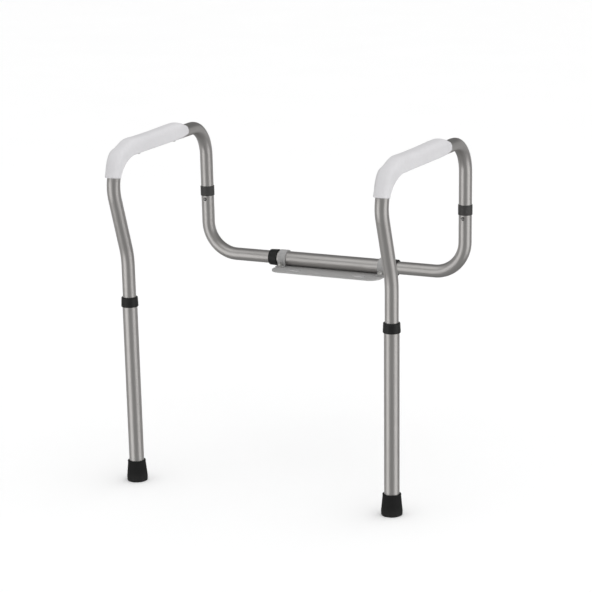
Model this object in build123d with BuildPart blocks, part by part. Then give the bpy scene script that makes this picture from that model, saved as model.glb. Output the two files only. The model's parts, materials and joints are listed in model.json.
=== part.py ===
from build123d import *
import os
from math import pi, radians, cos, sin, sqrt, tan

# Toilet safety frame: two bent-tube arm rails, each on one telescoping front leg.  Behind the
# toilet seat the rails slide in a sleeve, and a slotted plate under the sleeve takes the toilet's
# own seat bolts.  Millimetres, +X to the right, +Y to the rear, +Z up, origin on the floor below
# the middle of the frame.  The right-hand rail is modelled, and its mirror image is the left one.

# Tubes
TUBE_R = 12.7  # arm rail and rear tube
OUTER_R = 14.3  # outer leg and centre sleeve
WALL = 1.5
FIT = 0.08  # radial clearance of a tube that slides in another
SEAT = 0.05  # radial clearance of a piece that stays on its tube
BEND_R = 63.5
JOG_BEND_R = 120.0

# Side rail: distances along the rail from the front leg, and heights along the leaning rail
LEG_SPACING = 341.6
ARM_H = 648.6
JOG_H = 446.5
FRONT_LEAN = 18.4  # degrees, the front upright leans forward above the jog
LEG_END_H = 178.0  # lower end of the inner leg
REAR_JOINT_H = 512.1
SPIGOT_LENGTH = 42.0
NECK = 6.0  # length of the taper above the spigot

# Where the rails stand: half the distance between the legs on the floor, and two small angles
FOOT_X = 270.3
TOE = 1.04  # degrees, the rails open to the rear
SPLAY = 0.52  # degrees, the rails lean out

# Centre sleeve
CROSS_H = 385.0
SLEEVE_HALF = 136.0
RAIL_END_X = 40.0

# Snap buttons
BUTTON_R = 3.4
BUTTON_HOLE_R = 3.7
BUTTON_PROUD = 2.0
FLANGE_R = 4.6
FLANGE_T = 1.2
FLANGE_FLAT = 0.4  # how much the flange is seated below the bore's curve
BUTTON_ROUND = 2.4
REAR_BUTTON_H = 495.6
LEG_BUTTON_H = 205.0
WIDTH_BUTTON_X = 56.0
HEIGHT_STEP = 25.4
WIDTH_STEP = 12.7
LOWEST_STEP = -1
HIGHEST_STEP = 5
STEPS_EACH_WAY = 3

# V-springs behind the buttons
STRIP_T = 0.8
STRIP_W = 7.0
SPRING_REACH = 34.0
LEAF_BEND_R = 3.0
NOSE_BEND_R = 2.0

# Arm pad
PAD_SIDE = 17.0
PAD_TOP = 22.0
PAD_SKIRT = 8.5
PAD_CORNER = 10.0
PAD_REAR = 244.0
PAD_BOTTOM_H = 607.5
PAD_SCREW_AT = (60.0, 205.0)
PAD_SCREW_R = 1.9
PAD_SCREW_SKIN = 2.5  # pad left above the tip of a screw
PAD_SCREW_HEAD_R = 3.4
PAD_SCREW_HEAD_T = 1.4

# Collars and foot
COLLAR_LENGTH = 19.0
COLLAR_LIP = 4.0
COLLAR_R = 16.6
COLLAR_TOP_R = 15.7
COLLAR_CENTRE_H = 357.7
REAR_COLLAR_R = 14.0
REAR_COLLAR_LENGTH = 20.0
RIM_ROUND = 1.0
COLLAR_ROUND = 1.6
FOOT_H = 41.0
FOOT_TOP_R = 17.3
FOOT_R = 20.2
FOOT_BEAD = 0.3  # how far the foot's rim stands out
SOLE = 8.0
SOLE_ROUND = 1.8
TREAD_RADII = (6.5, 11.5)
TREAD_HALF_W = 1.0
TREAD_DEPTH = 1.2
WASHER_T = 2.0

# Mount plate and saddles
PLATE_T = 3.0
PLATE_HALF = 118.0
PLATE_FRONT = 58.0
PLATE_REAR = 29.0
PLATE_FRONT_CORNER = 22.0
PLATE_REAR_CORNER = 6.0
SEAT_BOLT_SPACING = 139.7
SEAT_BOLT_AHEAD = 38.0
SLOT_LENGTH = 30.0
SLOT_W = 13.0
SADDLE_X = 109.0
SADDLE_W = 16.0
SADDLE_T = 2.5
EAR_REACH = 28.0
SCREW_OUT = 21.9
SCREW_R = 2.45
SCREW_GAP = 0.15
THREAD_SHOWING = 2.0
SADDLE_WASHER_R = 4.8
SADDLE_WASHER_T = 1.0
NUT_HALF_W = 4.0
NUT_T = 4.0

# Worked out from the above
lean = radians(FRONT_LEAN)
corner_d = -(ARM_H - JOG_H) * tan(lean)
bend_front_d = corner_d + BEND_R / tan((pi / 2 - lean) / 2) - BEND_R
front_reach = PAD_TOP - bend_front_d
rear_reach = LEG_SPACING + PLATE_REAR
foot_y = (front_reach - rear_reach) / 2
spigot_r = TUBE_R - WALL - FIT
inner_bore = TUBE_R - WALL
outer_bore = TUBE_R + FIT
leg_top_h = COLLAR_CENTRE_H + COLLAR_LENGTH / 2 - COLLAR_LIP
plate_top = CROSS_H - OUTER_R - SEAT

to_rear = Vector(sin(radians(TOE)), cos(radians(TOE)), 0)
to_side = Vector(cos(radians(TOE)), -sin(radians(TOE)), -tan(radians(SPLAY)))
rail = Plane(origin=(FOOT_X, foot_y, 0), x_dir=to_rear, z_dir=to_side)
up_rail = rail.y_dir
leg_axis = Axis(rail.origin, up_rail)
rear_foot = rail.from_local_coords((LEG_SPACING, 0, 0))
rear_axis = Axis(rear_foot, up_rail)
rear_corner = rear_foot + up_rail * (CROSS_H / up_rail.Z)
rear_y = rear_corner.Y

inward = Vector(-1, 0, 0)
cross = Plane(origin=rear_corner, x_dir=inward, z_dir=inward.cross(up_rail))
centre = Plane(origin=(0, rear_y, CROSS_H), x_dir=(1, 0, 0), z_dir=(0, -1, 0))
sleeve_axis = Axis(centre.origin, (1, 0, 0))


def at(distance, height):
    """The point of the right-hand rail at a distance behind the front leg and a height."""
    return rail.from_local_coords((distance, height, 0))


# Each button plane lies on its tube's axis: x along the spring, z out through the button
rear_button_plane = Plane(origin=at(LEG_SPACING, REAR_BUTTON_H), x_dir=up_rail, z_dir=-to_rear)
leg_button_plane = Plane(origin=at(0, LEG_BUTTON_H), x_dir=up_rail, z_dir=to_rear)
width_button_plane = Plane(
    origin=(WIDTH_BUTTON_X, rear_y, CROSS_H), x_dir=(1, 0, 0), z_dir=(0, 1, 0)
)


def tube_section(outer_r, inner_r):
    """A ring in the sketch that is open."""
    Circle(outer_r)
    Circle(inner_r, mode=Mode.SUBTRACT)


def button_holes(plane, steps=(0,), pitch=0.0):
    """Cut a row of snap-button holes through the wall that the plane faces."""
    with BuildSketch(plane) as holes:
        with Locations([(step * pitch, 0) for step in steps]):
            Circle(BUTTON_HOLE_R)
    extrude(holes.sketch, amount=2 * OUTER_R, mode=Mode.SUBTRACT)


def write(name, piece):
    """Write one finished piece under its own name."""
    piece.label = name
    export_step(piece, f"parts/{name}.step")


def write_pair(name, piece):
    """Write a piece of the right-hand side, and its mirror image for the left."""
    with BuildPart() as twin:
        mirror(piece, about=Plane.YZ)
    write(f"right_{name}", piece)
    write(f"left_{name}", twin.part)


os.makedirs("parts", exist_ok=True)

# ---------------------------------------------------------------- bent tubes of one side rail

# Rear tube: a run across the back, one bend, and the rear upright
with BuildPart() as rear_tube:
    tube_top = cross.to_local_coords(at(LEG_SPACING, REAR_JOINT_H - NECK / 2))
    with BuildLine(cross) as rear_route:
        FilletPolyline(
            (rear_corner.X - RAIL_END_X, 0),
            (0, 0),
            (tube_top.X, tube_top.Y),
            radius=BEND_R,
        )
    with BuildSketch(Plane(origin=rear_route.line @ 0, z_dir=rear_route.line % 0)):
        tube_section(TUBE_R, inner_bore)
    sweep(path=rear_route.line)
    button_holes(rear_button_plane)
    button_holes(width_button_plane)

# Arm rail: spigot, rear bend, arm, front bend, jog and inner leg
with BuildPart() as arm_rail:
    with BuildLine(rail) as arm_route:
        FilletPolyline(
            (LEG_SPACING, REAR_JOINT_H + NECK),
            (LEG_SPACING, ARM_H),
            (corner_d, ARM_H),
            (0, JOG_H),
            (0, LEG_END_H),
            radius=[BEND_R, BEND_R, JOG_BEND_R],
        )
    with BuildSketch(Plane(origin=arm_route.line @ 0, z_dir=arm_route.line % 0)):
        tube_section(TUBE_R, inner_bore)
    sweep(path=arm_route.line)
    # The lower end of the rear upright is swaged down to plug into the rear tube
    with BuildSketch(rail):
        with BuildLine():
            neck_foot = REAR_JOINT_H - NECK / 3
            spigot_end = REAR_JOINT_H - SPIGOT_LENGTH
            Polyline(
                (LEG_SPACING + inner_bore, REAR_JOINT_H + NECK),
                (LEG_SPACING + TUBE_R, REAR_JOINT_H + NECK),
                (LEG_SPACING + TUBE_R, REAR_JOINT_H),
                (LEG_SPACING + spigot_r, neck_foot),
                (LEG_SPACING + spigot_r, spigot_end),
                (LEG_SPACING + spigot_r - WALL, spigot_end),
                (LEG_SPACING + spigot_r - WALL, neck_foot),
                close=True,
            )
        make_face()
    revolve(axis=rear_axis)
    button_holes(rear_button_plane)
    button_holes(leg_button_plane)
    # Two screws come up through the arm into the pad
    with BuildSketch(Plane(origin=at(0, ARM_H), x_dir=to_rear, z_dir=up_rail)):
        with Locations([(distance, 0) for distance in PAD_SCREW_AT]):
            Circle(PAD_SCREW_R + SCREW_GAP)
    extrude(amount=2 * TUBE_R, both=True, mode=Mode.SUBTRACT)

# ---------------------------------------------------------------- arm pad and its screws

# Arm pad: a saddle over the top of the arm that follows the front bend down
with BuildPart() as arm_pad:
    with BuildLine(rail) as pad_route:
        FilletPolyline((PAD_REAR, ARM_H), (corner_d, ARM_H), (0, JOG_H), radius=BEND_R)
    with BuildSketch(Plane(origin=pad_route.line @ 0, x_dir=to_side, z_dir=pad_route.line % 0)):
        with Locations((0, -PAD_SKIRT)):
            Rectangle(2 * PAD_SIDE, PAD_TOP + PAD_SKIRT, align=(Align.CENTER, Align.MIN))
        pad_corners = vertices().group_by(Axis.Z)[-1]
        fillet(pad_corners, PAD_CORNER)
        Circle(TUBE_R + SEAT, mode=Mode.SUBTRACT)
    sweep(path=pad_route.line)
    split(bisect_by=Plane(origin=at(0, PAD_BOTTOM_H), z_dir=up_rail), keep=Keep.TOP)
    with BuildSketch(Plane(origin=at(0, ARM_H), x_dir=to_rear, z_dir=up_rail)):
        with Locations([(distance, 0) for distance in PAD_SCREW_AT]):
            Circle(PAD_SCREW_R + SEAT)
    extrude(amount=PAD_TOP - PAD_SCREW_SKIN + SEAT, mode=Mode.SUBTRACT)

# Pad screws: low heads below the arm
with BuildPart() as pad_screws:
    with BuildSketch(Plane(origin=at(0, ARM_H - TUBE_R), x_dir=to_rear, z_dir=up_rail)):
        with Locations([(distance, 0) for distance in PAD_SCREW_AT]):
            Circle(PAD_SCREW_R)
    extrude(amount=TUBE_R + PAD_TOP - PAD_SCREW_SKIN)
    with BuildSketch(Plane(origin=at(0, ARM_H - TUBE_R), x_dir=to_rear, z_dir=-up_rail)):
        with Locations([(distance, 0) for distance in PAD_SCREW_AT]):
            Circle(PAD_SCREW_HEAD_R)
    extrude(amount=PAD_SCREW_HEAD_T)
    fillet(pad_screws.faces().sort_by(leg_axis)[:2].edges(), RIM_ROUND)

# ---------------------------------------------------------------- collars

# Rear collar: a plain ring over the rear joint
with BuildPart() as rear_collar:
    with BuildSketch(
        Plane(origin=at(LEG_SPACING, REAR_JOINT_H - REAR_COLLAR_LENGTH / 2), z_dir=up_rail)
    ):
        tube_section(REAR_COLLAR_R, TUBE_R + SEAT)
    extrude(amount=REAR_COLLAR_LENGTH)
    fillet(rear_collar.edges().filter_by(GeomType.CIRCLE).group_by(SortBy.RADIUS)[-1], RIM_ROUND)


def end_collar(plane, axis):
    """A collar on the end of an outer tube: a skirt around it and a lip that guides the inner one.

    The plane lies on the tube's end, and its y runs out of the tube.
    """
    with BuildPart() as collar:
        with BuildSketch(plane):
            with BuildLine():
                Polyline(
                    (outer_bore, 0),
                    (OUTER_R + SEAT, 0),
                    (OUTER_R + SEAT, COLLAR_LIP - COLLAR_LENGTH),
                    (COLLAR_R, COLLAR_LIP - COLLAR_LENGTH),
                    (COLLAR_TOP_R, COLLAR_LIP),
                    (outer_bore, COLLAR_LIP),
                    close=True,
                )
            make_face()
        revolve(axis=axis)
        rims = collar.edges().filter_by(GeomType.CIRCLE).group_by(SortBy.RADIUS)
        fillet(rims[-1], COLLAR_ROUND)
        fillet(rims[-2], COLLAR_ROUND)
    return collar.part


leg_collar = end_collar(Plane(origin=at(0, leg_top_h), x_dir=to_rear, z_dir=to_side), leg_axis)
sleeve_collar = end_collar(
    Plane(origin=(SLEEVE_HALF, rear_y, CROSS_H), x_dir=(0, 0, 1), z_dir=(0, 1, 0)), sleeve_axis
)

# ---------------------------------------------------------------- outer leg and foot

# Leg tube: one row of height holes faces the rear
with BuildPart() as leg_tube:
    with BuildSketch(Plane(origin=at(0, SOLE + WASHER_T), z_dir=up_rail)):
        tube_section(OUTER_R, outer_bore)
    extrude(amount=leg_top_h - SOLE - WASHER_T)
    button_holes(leg_button_plane, range(LOWEST_STEP, HIGHEST_STEP + 1), HEIGHT_STEP)

# Foot tip: a rubber cup with a thick sole, cut level with the floor
with BuildPart() as foot_tip:
    with BuildSketch(rail):
        with BuildLine():
            Polyline(
                (0, -TREAD_DEPTH),
                (FOOT_R - 2 * FOOT_BEAD, -TREAD_DEPTH),
                (FOOT_R, SOLE),
                (FOOT_TOP_R, FOOT_H - SOLE / 2),
                (FOOT_TOP_R + FOOT_BEAD, FOOT_H),
                (OUTER_R + SEAT, FOOT_H),
                (OUTER_R + SEAT, SOLE),
                (0, SOLE),
                close=True,
            )
        make_face()
    revolve(axis=leg_axis)
    split(bisect_by=Plane.XY, keep=Keep.TOP)
    fillet(foot_tip.edges().group_by(Axis.Z)[0], SOLE_ROUND)
    foot_rims = foot_tip.edges().filter_by(GeomType.CIRCLE).group_by(leg_axis)[-1]
    fillet(foot_rims.sort_by(SortBy.RADIUS)[-1], RIM_ROUND)
    # Two tread rings in the sole
    with BuildSketch(Plane(origin=(FOOT_X, foot_y, 0))):
        for tread_r in TREAD_RADII:
            tube_section(tread_r + TREAD_HALF_W, tread_r - TREAD_HALF_W)
    extrude(amount=TREAD_DEPTH, mode=Mode.SUBTRACT)

# Foot washer: spreads the tube's load on the rubber
with BuildPart() as foot_washer:
    with BuildSketch(Plane(origin=at(0, SOLE), z_dir=up_rail)):
        Circle(OUTER_R - WALL / 3)
    extrude(amount=WASHER_T)

# ---------------------------------------------------------------- snap buttons and V-springs


def flange_seat(bore):
    """How far out the button's flange rests in a bore."""
    return sqrt(bore**2 - FLANGE_R**2) - FLANGE_FLAT


def snap_button(plane, bore, tube_r):
    """A button with a flange inside the bore and a round tip that stands out of the outer tube."""
    outward = Axis(plane.origin, plane.z_dir)
    with BuildPart() as button:
        with BuildSketch(plane.offset(flange_seat(bore) - FLANGE_T)):
            Circle(FLANGE_R)
        extrude(amount=FLANGE_T)
        with BuildSketch(plane.offset(flange_seat(bore))):
            Circle(BUTTON_R)
        extrude(amount=tube_r + BUTTON_PROUD - flange_seat(bore))
        fillet(button.faces().sort_by(outward)[-1].edges(), BUTTON_ROUND)
    return button.part


def v_spring(plane, bore):
    """A strip bent into a V: one leaf under the button, the other against the far wall."""
    leaf = flange_seat(bore) - FLANGE_T - SEAT - STRIP_T / 2
    far_wall = sqrt(bore**2 - (STRIP_W / 2) ** 2) - STRIP_T / 2 - 2 * SEAT
    side = Plane(origin=plane.origin, x_dir=plane.x_dir, z_dir=plane.x_dir.cross(plane.z_dir))
    with BuildPart() as spring:
        with BuildSketch(side):
            with BuildLine():
                FilletPolyline(
                    (-FLANGE_R, leaf),
                    (2 * BUTTON_R, leaf),
                    (SPRING_REACH, 0),
                    (3 * BUTTON_R, -far_wall),
                    radius=[LEAF_BEND_R, NOSE_BEND_R],
                )
            trace(line_width=STRIP_T)
        extrude(amount=STRIP_W / 2, both=True)
    return spring.part


rear_button = snap_button(rear_button_plane, spigot_r - WALL, TUBE_R)
rear_spring = v_spring(rear_button_plane, spigot_r - WALL)
leg_button = snap_button(leg_button_plane, inner_bore, OUTER_R)
leg_spring = v_spring(leg_button_plane, inner_bore)
width_button = snap_button(width_button_plane, inner_bore, OUTER_R)
width_spring = v_spring(width_button_plane, inner_bore)

# ---------------------------------------------------------------- centre sleeve and mount plate

# Cross sleeve: two rows of width holes face the rear
with BuildPart() as cross_sleeve:
    with BuildSketch(Plane(origin=(-SLEEVE_HALF, rear_y, CROSS_H), z_dir=(1, 0, 0))):
        tube_section(OUTER_R, outer_bore)
    extrude(amount=2 * SLEEVE_HALF)
    with BuildSketch(Plane(origin=centre.origin, x_dir=(-1, 0, 0), z_dir=(0, 1, 0))):
        for side in (-1, 1):
            for step in range(-STEPS_EACH_WAY, STEPS_EACH_WAY + 1):
                with Locations((side * (WIDTH_BUTTON_X + step * WIDTH_STEP), 0)):
                    Circle(BUTTON_HOLE_R)
    extrude(amount=2 * OUTER_R, mode=Mode.SUBTRACT)

screw_places = [(x, rear_y + y) for x in (-SADDLE_X, SADDLE_X) for y in (-SCREW_OUT, SCREW_OUT)]

# Mount plate: lies on the toilet bowl's rear deck, under the seat hinges
with BuildPart() as mount_plate:
    with BuildSketch(Plane.XY.offset(plate_top - PLATE_T)):
        with Locations((0, rear_y + (PLATE_REAR - PLATE_FRONT) / 2)):
            Rectangle(2 * PLATE_HALF, PLATE_FRONT + PLATE_REAR)
        fillet(vertices().group_by(Axis.Y)[0], PLATE_FRONT_CORNER)
        fillet(vertices().group_by(Axis.Y)[-1], PLATE_REAR_CORNER)
        with Locations(
            (-SEAT_BOLT_SPACING / 2, rear_y - SEAT_BOLT_AHEAD),
            (SEAT_BOLT_SPACING / 2, rear_y - SEAT_BOLT_AHEAD),
        ):
            SlotOverall(SLOT_LENGTH, SLOT_W, mode=Mode.SUBTRACT)
    extrude(amount=PLATE_T)
    underside = Plane(origin=(0, 0, plate_top - PLATE_T), x_dir=(1, 0, 0), z_dir=(0, 0, -1))
    with Locations(underside):
        with Locations([(x, -y) for x, y in screw_places]):
            CounterSinkHole(SCREW_R + SCREW_GAP, 2 * SCREW_R + SCREW_GAP, depth=PLATE_T)

# Sleeve saddles: one strap over each end of the sleeve
with BuildPart() as sleeve_saddles:
    for middle in (-SADDLE_X, SADDLE_X):
        with BuildSketch(Plane(origin=(middle, rear_y, 0), x_dir=(0, 1, 0), z_dir=(1, 0, 0))):
            with Locations((0, CROSS_H)):
                Circle(OUTER_R + SEAT + SADDLE_T)
            with Locations((0, plate_top)):
                Rectangle(
                    2 * (OUTER_R + SEAT + SADDLE_T),
                    CROSS_H - plate_top,
                    align=(Align.CENTER, Align.MIN),
                )
                Rectangle(2 * EAR_REACH, SADDLE_T, align=(Align.CENTER, Align.MIN))
            with Locations((0, CROSS_H)):
                Circle(OUTER_R + SEAT, mode=Mode.SUBTRACT)
                Rectangle(
                    2 * (OUTER_R + SEAT),
                    2 * OUTER_R,
                    align=(Align.CENTER, Align.MAX),
                    mode=Mode.SUBTRACT,
                )
        extrude(amount=SADDLE_W / 2, both=True)
    with BuildSketch(Plane.XY.offset(plate_top)):
        with Locations(screw_places):
            Circle(SCREW_R + SCREW_GAP)
    extrude(amount=SADDLE_T, mode=Mode.SUBTRACT)

# Saddle screws: countersunk heads flush with the underside of the plate
with BuildPart() as saddle_screws:
    with BuildSketch(Plane.XY.offset(plate_top - PLATE_T)):
        with Locations(screw_places):
            Circle(SCREW_R)
    extrude(amount=PLATE_T + SADDLE_T + SADDLE_WASHER_T + NUT_T + THREAD_SHOWING)
    with BuildSketch(Plane.XY.offset(plate_top - PLATE_T)):
        with Locations(screw_places):
            Circle(2 * SCREW_R)
    extrude(amount=SCREW_R, taper=45)

# Saddle washers and nuts
with BuildPart() as saddle_washers:
    with BuildSketch(Plane.XY.offset(plate_top + SADDLE_T)):
        with Locations(screw_places):
            tube_section(SADDLE_WASHER_R, SCREW_R + SCREW_GAP)
    extrude(amount=SADDLE_WASHER_T)

with BuildPart() as saddle_nuts:
    with BuildSketch(Plane.XY.offset(plate_top + SADDLE_T + SADDLE_WASHER_T)):
        with Locations(screw_places):
            RegularPolygon(NUT_HALF_W, 6, major_radius=False)
            Circle(SCREW_R + SEAT, mode=Mode.SUBTRACT)
    extrude(amount=NUT_T)

# ---------------------------------------------------------------- write every piece

write_pair("rear_tube", rear_tube.part)
write_pair("arm_rail", arm_rail.part)
write_pair("arm_pad", arm_pad.part)
write_pair("pad_screws", pad_screws.part)
write_pair("rear_collar", rear_collar.part)
write_pair("leg_collar", leg_collar)
write_pair("sleeve_collar", sleeve_collar)
write_pair("leg_tube", leg_tube.part)
write_pair("foot_tip", foot_tip.part)
write_pair("foot_washer", foot_washer.part)
write_pair("rear_button", rear_button)
write_pair("rear_spring", rear_spring)
write_pair("leg_button", leg_button)
write_pair("leg_spring", leg_spring)
write_pair("width_button", width_button)
write_pair("width_spring", width_spring)
write("cross_sleeve", cross_sleeve.part)
write("mount_plate", mount_plate.part)
write("sleeve_saddles", sleeve_saddles.part)
write("saddle_screws", saddle_screws.part)
write("saddle_washers", saddle_washers.part)
write("saddle_nuts", saddle_nuts.part)
print("leg slide axis", up_rail.X, up_rail.Y, up_rail.Z)
print("rail direction", to_rear.X, to_rear.Y)
print("rear axis y", rear_y, "foot y", foot_y, "plate underside", plate_top - PLATE_T)
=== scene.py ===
import json
from math import acos, asin, cos, pi, radians, sin

import bmesh
import bpy
from mathutils import Matrix, Vector


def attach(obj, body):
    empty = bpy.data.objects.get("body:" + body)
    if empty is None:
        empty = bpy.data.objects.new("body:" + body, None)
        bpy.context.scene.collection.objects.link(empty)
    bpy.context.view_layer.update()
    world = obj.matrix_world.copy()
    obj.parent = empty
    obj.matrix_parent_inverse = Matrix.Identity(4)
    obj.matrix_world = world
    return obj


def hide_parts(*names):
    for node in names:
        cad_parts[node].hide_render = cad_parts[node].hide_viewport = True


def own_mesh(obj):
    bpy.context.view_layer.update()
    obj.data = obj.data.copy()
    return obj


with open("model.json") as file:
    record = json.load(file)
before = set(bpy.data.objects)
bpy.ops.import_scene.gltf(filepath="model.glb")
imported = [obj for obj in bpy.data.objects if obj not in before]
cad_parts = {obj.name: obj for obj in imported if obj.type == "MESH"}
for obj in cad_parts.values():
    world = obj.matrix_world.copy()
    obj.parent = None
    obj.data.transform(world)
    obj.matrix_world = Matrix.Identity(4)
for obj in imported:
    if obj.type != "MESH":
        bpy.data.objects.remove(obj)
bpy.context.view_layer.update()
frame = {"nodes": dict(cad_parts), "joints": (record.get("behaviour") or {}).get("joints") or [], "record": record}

SIDES = ("left", "right")

nodes = frame["nodes"]
joint_axes = {joint["name"]: Vector(joint["axis"]) for joint in frame["joints"]}
mount_places = {mount["name"]: Vector(mount["pos_m"]) for mount in frame["record"]["mounts"]}

# Design sizes that the pads repeat
TUBE_RADIUS = 0.0127
BEND_RADIUS = 0.0635

# ---------------------------------------------------------------- camera

CAMERA_AZIMUTH = radians(26.06)  # from straight ahead, towards the frame's right-hand side
CAMERA_ELEVATION = radians(13.53)
CAMERA_ROLL = radians(-1.10)
CAMERA_DISTANCE = 4.456
CAMERA_OFFSET = (-0.0017, 0.0040)  # to the right and up in the picture
CAMERA_LENS = 140.3  # millimetres, as is the sensor's width
CAMERA_SENSOR = 36
CAMERA_SEES_TO = 100
AIM_BEHIND_LEGS = 0.170
AIM_HEIGHT = 0.350

front_leg = mount_places["right_foot"]
aim = Vector((0, front_leg.y + AIM_BEHIND_LEGS, AIM_HEIGHT))


def direction(azimuth, elevation):
    """The unit vector from the aim towards an azimuth from straight ahead and an elevation."""
    level = Vector((sin(azimuth), -cos(azimuth), 0))
    return level * cos(elevation) + Vector((0, 0, sin(elevation)))


def make_camera():
    """The camera, as fitted to the photo."""
    back = direction(CAMERA_AZIMUTH, CAMERA_ELEVATION)
    level_right = Vector((cos(CAMERA_AZIMUTH), sin(CAMERA_AZIMUTH), 0))
    level_up = back.cross(level_right)
    right = level_right * cos(CAMERA_ROLL) + level_up * sin(CAMERA_ROLL)
    up = level_up * cos(CAMERA_ROLL) - level_right * sin(CAMERA_ROLL)
    camera = bpy.data.objects.new("camera", bpy.data.cameras.new("camera"))
    camera.data.lens = CAMERA_LENS
    camera.data.sensor_width = CAMERA_SENSOR
    camera.data.clip_end = CAMERA_SEES_TO
    turn = Matrix((right, up, back)).transposed().to_4x4()
    to_right, to_top = CAMERA_OFFSET
    place = aim + right * to_right + up * to_top + back * CAMERA_DISTANCE
    camera.matrix_world = Matrix.Translation(place) @ turn
    bpy.context.scene.collection.objects.link(camera)
    bpy.context.scene.camera = camera


# ---------------------------------------------------------------- material tools

NOISE_MIDDLE = {"start_at": 0.3, "end_at": 0.7}  # where most of a noise's values lie

# The sockets of a mix node that mixes colours
MIX_AMOUNT = 0
MIX_FIRST = 6
MIX_SECOND = 7
MIX_RESULT = 2


def add(tree, kind, inputs=None, **settings):
    """A new shader node. A value sets the input socket of that name, and a socket is linked to it."""
    made = tree.nodes.new(kind)
    for name, value in settings.items():
        setattr(made, name, value)
    for socket, value in (inputs or {}).items():
        if isinstance(value, bpy.types.NodeSocket):
            tree.links.new(value, made.inputs[socket])
        else:
            made.inputs[socket].default_value = value
    return made


def grey(level, warmth=0.0):
    """A colour of that level, a little warmer or, below zero, cooler."""
    return (level * (1 + warmth), level, level * (1 - warmth), 1)


def start(name, **values):
    """A new material, its tree and its shader, with constant values on the shader's own sockets."""
    material = bpy.data.materials.new(name)
    material.use_nodes = True
    shader = material.node_tree.nodes["Principled BSDF"]
    for socket, value in values.items():
        shader.inputs[socket.replace("_", " ")].default_value = value
    return material, material.node_tree, shader


def noise(tree, scale, detail=3.0, stretch=(1, 1, 1), roughness=0.5):
    """Noise in the piece's own place, scale features to the metre, times stretch on each axis."""
    place = add(tree, "ShaderNodeTexCoord").outputs["Object"]
    drawn = add(tree, "ShaderNodeMapping", {"Vector": place, "Scale": stretch}).outputs["Vector"]
    inputs = {"Vector": drawn, "Scale": scale, "Detail": detail, "Roughness": roughness}
    return add(tree, "ShaderNodeTexNoise", inputs).outputs["Fac"]


def spread(tree, value, low, high, start_at=0.0, end_at=1.0):
    """The value, spread from start_at..end_at to low..high and held at both ends."""
    inputs = {"Value": value, "From Min": start_at, "From Max": end_at, "To Min": low, "To Max": high}
    return add(tree, "ShaderNodeMapRange", inputs).outputs["Result"]


def mix(tree, amount, first, second):
    """The colour between the first and the second."""
    inputs = {MIX_AMOUNT: amount, MIX_FIRST: first, MIX_SECOND: second}
    return add(tree, "ShaderNodeMix", inputs, data_type="RGBA").outputs[MIX_RESULT]


def maths(tree, operation, first, second):
    """The sum, product or other result of two values."""
    return add(tree, "ShaderNodeMath", {0: first, 1: second}, operation=operation).outputs[0]


def finish_shader(tree, shader, tone, rough):
    """Link the colour and the roughness to the shader."""
    tree.links.new(tone, shader.inputs["Base Color"])
    tree.links.new(rough, shader.inputs["Roughness"])


def bump(tree, shader, height, distance, strength=1.0):
    """Raise the surface by up to that distance, in metres."""
    inputs = {"Height": height, "Distance": distance, "Strength": strength}
    tree.links.new(add(tree, "ShaderNodeBump", inputs).outputs["Normal"], shader.inputs["Normal"])


# ---------------------------------------------------------------- materials

# How often the draw lines alternate along x, y and z: they never follow the axis with the most
LINES_ACROSS_X = (2400, 6, 6)
LINES_ACROSS_Y = (6, 2400, 6)
LINES_ACROSS_Z = (6, 300, 2400)

ALUMINIUM_TONES = (grey(0.56, 0.03), grey(0.64, 0.025))
ALUMINIUM_CLOUD = grey(0.51, 0.04)
DRAW_LINE_SHARE = 0.7  # of the aluminium's fine relief; specks make the rest
PAD_WHITES = ((0.618, 0.612, 0.626, 1), (0.648, 0.642, 0.656, 1))
PAD_MOTTLE = (0.600, 0.594, 0.608, 1)
SCUFF_PALENESS = 2.2  # a scuff's colour over the plastic's own
RUBBER_BLACK = grey(0.008)
RUBBER_DUST = grey(0.045, 0.03)
DUST_HEIGHT = 0.018
ZINC_TONES = (grey(0.50, -0.01), (0.66, 0.65, 0.60, 1))
BUTTON_TONES = (grey(0.16, 0.01), grey(0.34, 0.01))
SPRING_TONES = (grey(0.24, -0.06), grey(0.38, -0.03))
COAT_TONES = (grey(0.33, 0.01), grey(0.46, 0.01))


def aluminium(name, across):
    """Satin anodised tube with fine draw lines."""
    material, tree, shader = start(name, Metallic=1.0)
    lines = noise(tree, scale=1.0, detail=4.0, stretch=across, roughness=0.6)
    clouds = noise(tree, scale=26.0)
    specks = noise(tree, scale=900.0, detail=2.0)
    drawn = mix(tree, spread(tree, lines, 0, 1, **NOISE_MIDDLE), *ALUMINIUM_TONES)
    clouded = spread(tree, clouds, 0.0, 0.22, start_at=0.35, end_at=0.75)
    tone = mix(tree, clouded, drawn, ALUMINIUM_CLOUD)
    line_rough = spread(tree, lines, 0.32, 0.41, **NOISE_MIDDLE)
    cloud_rough = spread(tree, clouds, 0, 0.05)
    finish_shader(tree, shader, tone, maths(tree, "ADD", line_rough, cloud_rough))
    low_lines = maths(tree, "MULTIPLY", lines, DRAW_LINE_SHARE)
    low_specks = maths(tree, "MULTIPLY", specks, 1 - DRAW_LINE_SHARE)
    bump(tree, shader, maths(tree, "ADD", low_lines, low_specks), distance=0.00002)
    return material


def moulded_pad():
    """White self-skinned foam, with a fine even grain and a slightly greyer mottle."""
    material, tree, shader = start("moulded_pad", IOR=1.46, Specular_IOR_Level=0.35)
    clouds = noise(tree, scale=18.0, detail=4.0)
    mottle = noise(tree, scale=160.0)
    grain = noise(tree, scale=1700.0, roughness=0.65)
    clouded = spread(tree, clouds, 0, 1, start_at=0.35, end_at=0.65)
    white = mix(tree, clouded, *PAD_WHITES)
    mottled = spread(tree, mottle, 0, 0.4, start_at=0.45, end_at=0.75)
    tone = mix(tree, mottled, white, PAD_MOTTLE)
    finish_shader(tree, shader, tone, spread(tree, mottle, 0.50, 0.60, **NOISE_MIDDLE))
    bump(tree, shader, grain, distance=0.00008, strength=0.7)
    return material


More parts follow.
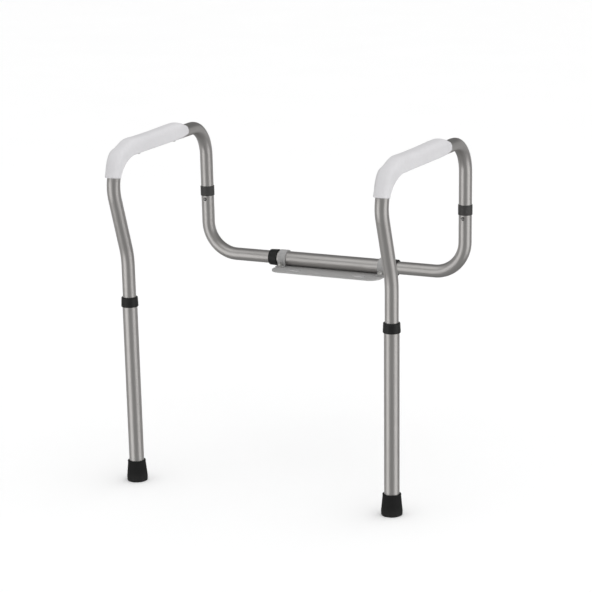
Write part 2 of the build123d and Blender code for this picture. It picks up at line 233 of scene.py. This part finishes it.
def dark_plastic(name, level, warmth=0.0, gloss=0.5):
    """Moulded plastic with a spark-eroded grain, scuffed a little paler in places."""
    material, tree, shader = start(name, Specular_IOR_Level=gloss)
    grain = noise(tree, scale=2600.0, detail=2.0)
    scuffs = noise(tree, scale=240.0, detail=5.0, stretch=(1, 1, 0.35), roughness=0.7)
    scuffed = spread(tree, scuffs, 0, 1, start_at=0.55, end_at=0.80)
    tone = mix(tree, scuffed, grey(level, warmth), grey(level * SCUFF_PALENESS, warmth))
    finish_shader(tree, shader, tone, spread(tree, scuffs, 0.38, 0.55, start_at=0.4, end_at=0.7))
    bump(tree, shader, grain, distance=0.00005, strength=0.6)
    return material


def foot_rubber():
    """Matt black rubber, dusty near the floor."""
    material, tree, shader = start("foot_rubber", Specular_IOR_Level=0.25)
    place = add(tree, "ShaderNodeTexCoord").outputs["Object"]
    height = add(tree, "ShaderNodeSeparateXYZ", {"Vector": place}).outputs["Z"]
    dust = noise(tree, scale=420.0, detail=5.0, roughness=0.7)
    low_down = spread(tree, height, 1.0, 0.0, start_at=0.0, end_at=DUST_HEIGHT)
    dusty = maths(tree, "MULTIPLY", low_down, spread(tree, dust, 0, 0.8, start_at=0.40, end_at=0.72))
    tone = mix(tree, dusty, RUBBER_BLACK, RUBBER_DUST)
    finish_shader(tree, shader, tone, spread(tree, dust, 0.62, 0.80, **NOISE_MIDDLE))
    bump(tree, shader, noise(tree, scale=1500.0), distance=0.0001, strength=0.6)
    return material


def zinc_steel():
    """Bright zinc plating with a faint mottled passivation."""
    material, tree, shader = start("zinc_steel", Metallic=1.0)
    patches = noise(tree, scale=700.0, detail=4.0)
    patched = spread(tree, patches, 0, 1, **NOISE_MIDDLE)
    tone = mix(tree, patched, *ZINC_TONES)
    finish_shader(tree, shader, tone, spread(tree, patches, 0.28, 0.45, **NOISE_MIDDLE))
    bump(tree, shader, patches, distance=0.00002)
    return material


def button_steel():
    """Polished steel, rubbed by thumbs and by the edges of the holes."""
    material, tree, shader = start("button_steel", Metallic=1.0)
    rubs = noise(tree, scale=2200.0, detail=4.0, stretch=(1, 1, 0.4))
    tone = mix(tree, rubs, *BUTTON_TONES)
    finish_shader(tree, shader, tone, spread(tree, rubs, 0.12, 0.26, **NOISE_MIDDLE))
    bump(tree, shader, rubs, distance=0.00001)
    return material


def spring_steel():
    """Blue-grey tempered strip with rolling lines."""
    material, tree, shader = start("spring_steel", Metallic=1.0)
    lines = noise(tree, scale=1.0, stretch=(2500, 2500, 120))
    tone = mix(tree, lines, *SPRING_TONES)
    finish_shader(tree, shader, tone, spread(tree, lines, 0.25, 0.42, **NOISE_MIDDLE))
    bump(tree, shader, lines, distance=0.00001)
    return material


def powder_coat():
    """Grey powder coat with a soft orange peel and a few worn, paler spots."""
    material, tree, shader = start("powder_coat", IOR=1.5)
    peel = noise(tree, scale=520.0, detail=2.0)
    worn = noise(tree, scale=90.0, detail=6.0, roughness=0.75)
    spots = spread(tree, worn, 0, 1, start_at=0.58, end_at=0.72)
    tone = mix(tree, spots, *COAT_TONES)
    finish_shader(tree, shader, tone, spread(tree, worn, 0.40, 0.55, **NOISE_MIDDLE))
    bump(tree, shader, peel, distance=0.00012, strength=0.5)
    return material


def paint(material, *names):
    """Give these CAD nodes this material."""
    for name in names:
        for slot in nodes[name].material_slots:
            slot.material = material


def both(*names):
    """The left and the right node of each name."""
    return [f"{side}_{name}" for side in SIDES for name in names]


def paint_nodes():
    """Give the CAD nodes their materials. The pads and the springs are new pieces, with their own."""
    # The rails bend in the frame's depth and height, so their draw lines never follow x; the rear
    # tubes bend in width and height, so theirs never follow y; the sleeve lies along x.
    paint(aluminium("rail_aluminium", LINES_ACROSS_X), *both("arm_rail", "leg_tube"))
    paint(aluminium("rear_aluminium", LINES_ACROSS_Y), *both("rear_tube"))
    paint(aluminium("sleeve_aluminium", LINES_ACROSS_Z), "cross_sleeve")
    paint(dark_plastic("black_plastic", 0.009, gloss=0.35), *both("leg_collar", "sleeve_collar"))
    paint(dark_plastic("grey_plastic", 0.036, warmth=0.03), *both("rear_collar"))
    paint(foot_rubber(), *both("foot_tip"))
    saddle_fixings = ("saddle_screws", "saddle_washers", "saddle_nuts")
    paint(zinc_steel(), *both("foot_washer", "pad_screws"), *saddle_fixings)
    paint(button_steel(), *both("rear_button", "leg_button", "width_button"))
    paint(powder_coat(), "mount_plate", "sleeve_saddles")


# ---------------------------------------------------------------- new pieces


def show(name, data, material):
    """A new object in the scene, of that mesh in that one material."""
    made = bpy.data.objects.new(name, data)
    made.data.materials.clear()
    made.data.materials.append(material)
    bpy.context.scene.collection.objects.link(made)
    return made


def show_built(name, mesh, material):
    """The same, from a mesh that was built face by face."""
    data = bpy.data.meshes.new(name)
    mesh.to_mesh(data)
    mesh.free()
    return show(name, data, material)


def reach(name, origin, along):
    """How far a CAD node reaches along a direction: its least and its greatest distance."""
    distances = [(vertex.co - origin).dot(along) for vertex in nodes[name].data.vertices]
    return min(distances), max(distances)


# ---------------------------------------------------------------- arm pads

PAD_GAP = 0.0003  # between the tube and the pad's bore
PAD_CORNER = 0.0100  # radius of the two upper edges
PAD_CROWN = 0.0004  # how much higher the top is in the middle than at those edges
PAD_OVERRUN = 0.0040  # how far the pad runs past its lowest point, measured along the bend
PAD_CUT_SLANT = 0.10  # the lower end is cut between square to the bend and level
PAD_CUT_REACH = 0.040  # how much of the pad's length the slant grows over

# Steps along the pad, and across one half of it
PAD_LENGTHWISE = 85
PAD_SIDE_STEPS = 5
PAD_CORNER_STEPS = 6
PAD_TOP_STEPS = 6
PAD_SMOOTHING = 2  # levels of subdivision

# Along the pad from its rear end: distance, top above the tube's axis, half width, skirt below it
PAD_SHAPE = (
    (0.000, 0.0133, 0.0138, 0.0020),
    (0.006, 0.0143, 0.0146, 0.0044),
    (0.018, 0.0189, 0.0159, 0.0064),
    (0.030, 0.0220, 0.0168, 0.0079),
    (0.060, 0.0219, 0.0170, 0.0085),
    (0.120, 0.0206, 0.0170, 0.0086),
    (0.165, 0.0203, 0.0170, 0.0084),
    (0.195, 0.0206, 0.0169, 0.0085),
    (0.207, 0.0212, 0.0168, 0.0088),
    (0.218, 0.0211, 0.0167, 0.0092),
    (0.238, 0.0176, 0.0165, 0.0080),
    (0.248, 0.0179, 0.0163, 0.0068),
    (0.263, 0.0240, 0.0160, 0.0050),
    (0.275, 0.0231, 0.0154, 0.0030),
    (0.294, 0.0187, 0.0146, 0.0004),
    (0.298, 0.0197, 0.0148, 0.0002),
    (0.304, 0.0190, 0.0144, 0.0002),
)


def rail_axes(side):
    """The foot of a rail's front leg, and the directions to the rear, up and outwards along the rail."""
    # The leg button is pressed in to the front, and the leg slides out downwards.
    rear = -joint_axes[f"{side}_leg_press"]
    up = -joint_axes[f"{side}_height_slide"]
    outward = rear.cross(up) if side == "right" else up.cross(rear)
    return mount_places[f"{side}_foot"], rear, up, outward


def shape_at(station):
    """The pad's top, half width and skirt at a distance from its rear end, between its shape's rows."""
    for (begin, *before), (end, *after) in zip(PAD_SHAPE, PAD_SHAPE[1:]):
        if station <= end:
            part = (station - begin) / (end - begin)
            return [a + (b - a) * part for a, b in zip(before, after)]
    return PAD_SHAPE[-1][1:]


def pad_section(top, half_width, skirt):
    """The pad's outer wall and its bore across the tube, as pairs of outward and up distances."""
    shoulder = top - PAD_CORNER
    flat = half_width - PAD_CORNER
    half = [(half_width, -skirt + (shoulder + skirt) * i / PAD_SIDE_STEPS) for i in range(PAD_SIDE_STEPS)]
    for i in range(PAD_CORNER_STEPS):
        turn = pi / 2 * i / PAD_CORNER_STEPS
        half.append((flat + PAD_CORNER * cos(turn), shoulder + PAD_CORNER * sin(turn)))
    for i in range(PAD_TOP_STEPS):
        part = i / PAD_TOP_STEPS
        half.append((flat * (1 - part), top + PAD_CROWN * (1 - (1 - part) ** 2)))
    outer = half + [(0, top + PAD_CROWN)] + [(-x, y) for x, y in reversed(half)]
    bore = TUBE_RADIUS + PAD_GAP
    droop = asin(skirt / bore)
    turns = [-droop + (pi + 2 * droop) * i / (len(outer) - 1) for i in range(len(outer))]
    return outer, [(bore * cos(turn), bore * sin(turn)) for turn in turns]


def make_pad(side, material):
    """The moulded pad, along the arm and round its front bend."""
    origin, rear, up, outward = rail_axes(side)
    node = f"{side}_arm_pad"
    arm_height = reach(f"{side}_arm_rail", origin, up)[1] - TUBE_RADIUS
    front, pad_rear = reach(node, origin, rear)
    bottom, crest = reach(node, origin, up)
    # The pad is as thick in front of the bend as it is above the arm.
    bend_start = front + BEND_RADIUS + crest - arm_height
    straight = pad_rear - bend_start
    length = straight + BEND_RADIUS * acos(1 - (arm_height - bottom) / BEND_RADIUS) + PAD_OVERRUN

    def place(station, x, y):
        """The point of the pad at a distance along the tube, with its outward and up distances from it."""
        slant = PAD_CUT_SLANT * max(0, 1 - (length - station) / PAD_CUT_REACH)
        station += slant * y
        turn = max(0, station - straight) / BEND_RADIUS
        back = pad_rear - min(station, straight) - BEND_RADIUS * sin(turn)
        centre = origin + rear * back + up * (arm_height - BEND_RADIUS * (1 - cos(turn)))
        return centre + outward * x + (up * cos(turn) - rear * sin(turn)) * y

    mesh = bmesh.new()
    rings = []
    for step in range(PAD_LENGTHWISE + 1):
        station = length * step / PAD_LENGTHWISE
        walls = pad_section(*shape_at(station))
        rings.append([[mesh.verts.new(place(station, x, y)) for x, y in wall] for wall in walls])
    around = len(rings[0][0]) - 1
    for (outer, inner), (next_outer, next_inner) in zip(rings, rings[1:]):
        for i in range(around):
            mesh.faces.new((outer[i], outer[i + 1], next_outer[i + 1], next_outer[i]))
            mesh.faces.new((inner[i], next_inner[i], next_inner[i + 1], inner[i + 1]))
        for i in (0, around):
            mesh.faces.new((outer[i], next_outer[i], next_inner[i], inner[i]))
    for outer, inner in (rings[0], rings[-1]):
        for i in range(around):
            mesh.faces.new((outer[i], inner[i], inner[i + 1], outer[i + 1]))
    bmesh.ops.recalc_face_normals(mesh, faces=mesh.faces)
    cover = show_built(f"{side}_pad", mesh, material)
    cover.data.shade_smooth()
    smooth = cover.modifiers.new("smooth", "SUBSURF")
    smooth.levels = PAD_SMOOTHING
    smooth.render_levels = PAD_SMOOTHING
    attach(cover, f"{side}_rail")
    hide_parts(node)


# ---------------------------------------------------------------- V-springs


def make_spring(side, place, material):
    """The V-spring behind a snap button, copied from its CAD node and carried by the rail; the real spring's near
    leaf gives way as the button is pressed in, and the copy stays as drawn.
    """
    node = f"{side}_{place}_spring"
    spring = show(f"{node}_strip", nodes[node].data.copy(), material)
    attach(spring, f"{side}_rail")
    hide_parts(node)
    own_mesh(spring)


# ---------------------------------------------------------------- studio

FLOOR_HALF = 22.0  # half of its side
FLOOR_SQUARES = 24  # each way
BACKDROP_RADIUS = 21.0
BACKDROP_HEIGHT = 14.0
BACKDROP_SIDES = 48

# Each light's place is an azimuth from straight ahead and an elevation.

# Suns for the diffuse surfaces
OVERHEAD_PLACE = (radians(75), radians(75))
OVERHEAD_STRENGTH = 2.36
FILL_PLACE = (radians(100), radians(15))
FILL_STRENGTH = 0.75
SUN_DISTANCE = 5
SUN_SPREAD = radians(150)

# Panels for the metal to mirror
STRIP_DISTANCE = 2.6
STRIP_SIZE = (2.2, 2.6)
STRIP_HEIGHT = 0.0
FRONT_STRIP = (radians(60), 13.7)  # its turn to either side of the camera, and its power
BACK_STRIP = (radians(135), 4.5)
PANEL_PLACE = (radians(-28), radians(60))
PANEL_DISTANCE = 3
PANEL_SIZE = (3.0, 2.4)
PANEL_POWER = 14.0

# The world's light in front and behind, and where along the front-to-rear axis each is reached
WORLD_FRONT = 0.29
WORLD_BACK = 0.21
WORLD_FRONT_AT = -0.2
WORLD_BACK_AT = 0.6


def make_floor():
    """A wide pale floor that runs past the backdrop."""
    material, tree, shader = start("pale_floor", Roughness=0.9)
    tone = mix(tree, noise(tree, scale=3.0), grey(0.94), grey(0.965))
    tree.links.new(tone, shader.inputs["Base Color"])
    mesh = bmesh.new()
    bmesh.ops.create_grid(mesh, x_segments=FLOOR_SQUARES, y_segments=FLOOR_SQUARES, size=FLOOR_HALF)
    floor = show_built("floor", mesh, material)
    floor.visible_glossy = False
    floor.visible_shadow = False


def make_backdrop():
    """A white wall near the floor's edge, which only the camera sees: it closes the level views."""
    material = bpy.data.materials.new("backdrop")
    material.use_nodes = True
    tree = material.node_tree
    tree.nodes.clear()
    tone = mix(tree, noise(tree, scale=0.2), grey(0.98), grey(1.0))
    glow = add(tree, "ShaderNodeEmission", {"Color": tone}).outputs["Emission"]
    add(tree, "ShaderNodeOutputMaterial", {"Surface": glow})
    mesh = bmesh.new()
    turns = [2 * pi * i / BACKDROP_SIDES for i in range(BACKDROP_SIDES)]
    ring = [(BACKDROP_RADIUS * cos(turn), BACKDROP_RADIUS * sin(turn)) for turn in turns]
    low = [mesh.verts.new((x, y, 0)) for x, y in ring]
    high = [mesh.verts.new((x, y, BACKDROP_HEIGHT)) for x, y in ring]
    for i in range(BACKDROP_SIDES):
        mesh.faces.new((low[i - 1], low[i], high[i], high[i - 1]))
    backdrop = show_built("backdrop", mesh, material)
    backdrop.visible_diffuse = False
    backdrop.visible_glossy = False
    backdrop.visible_shadow = False


def make_light(name, kind, place, **settings):
    """A light at a place, facing the aim."""
    light = bpy.data.objects.new(name, bpy.data.lights.new(name, kind))
    for setting, value in settings.items():
        setattr(light.data, setting, value)
    turn = (place - aim).to_track_quat("Z", "Y")
    light.matrix_world = Matrix.Translation(place) @ turn.to_matrix().to_4x4()
    bpy.context.scene.collection.objects.link(light)
    return light


def diffuse_light(name, angles, strength):
    """A wide sun that only the diffuse surfaces see."""
    place = aim + direction(*angles) * SUN_DISTANCE
    sun = make_light(name, "SUN", place, energy=strength, angle=SUN_SPREAD)
    sun.visible_glossy = False


def mirrored_light(name, place, size, power):
    """A panel that only the glossy surfaces see."""
    width, height = size
    panel = make_light(name, "AREA", place, shape="RECTANGLE", size=width, size_y=height, energy=power)
    panel.visible_camera = False
    panel.visible_diffuse = False


def make_lights():
    """Soft light for the diffuse surfaces, and panels round the frame for the metal to mirror."""
    diffuse_light("overhead", OVERHEAD_PLACE, OVERHEAD_STRENGTH)
    diffuse_light("fill", FILL_PLACE, FILL_STRENGTH)
    for end, (turn, power) in (("front", FRONT_STRIP), ("back", BACK_STRIP)):
        for hand, sign in (("left", -1), ("right", 1)):
            place = aim + direction(CAMERA_AZIMUTH + sign * turn, 0) * STRIP_DISTANCE
            place.z = STRIP_HEIGHT
            mirrored_light(f"{end}_{hand}_strip", place, STRIP_SIZE, power)
    place = aim + direction(*PANEL_PLACE) * PANEL_DISTANCE
    mirrored_light("front_panel", place, PANEL_SIZE, PANEL_POWER)


def make_world():
    """A dim grey room, a little darker behind the frame."""
    world = bpy.data.worlds.new("studio")
    world.use_nodes = True
    tree = world.node_tree
    towards = add(tree, "ShaderNodeTexCoord").outputs["Generated"]
    rearward = add(tree, "ShaderNodeSeparateXYZ", {"Vector": towards}).outputs["Y"]
    level = spread(tree, rearward, WORLD_FRONT, WORLD_BACK, start_at=WORLD_FRONT_AT, end_at=WORLD_BACK_AT)
    tree.links.new(level, tree.nodes["Background"].inputs["Color"])
    bpy.context.scene.world = world
    bpy.context.scene.view_settings.view_transform = "Standard"


# ---------------------------------------------------------------- make everything

make_camera()
paint_nodes()
pad_material = moulded_pad()
strip_material = spring_steel()
for rail_side in SIDES:
    make_pad(rail_side, pad_material)
    for button_place in ("rear", "leg", "width"):
        make_spring(rail_side, button_place, strip_material)
make_floor()
make_backdrop()
make_lights()
make_world()
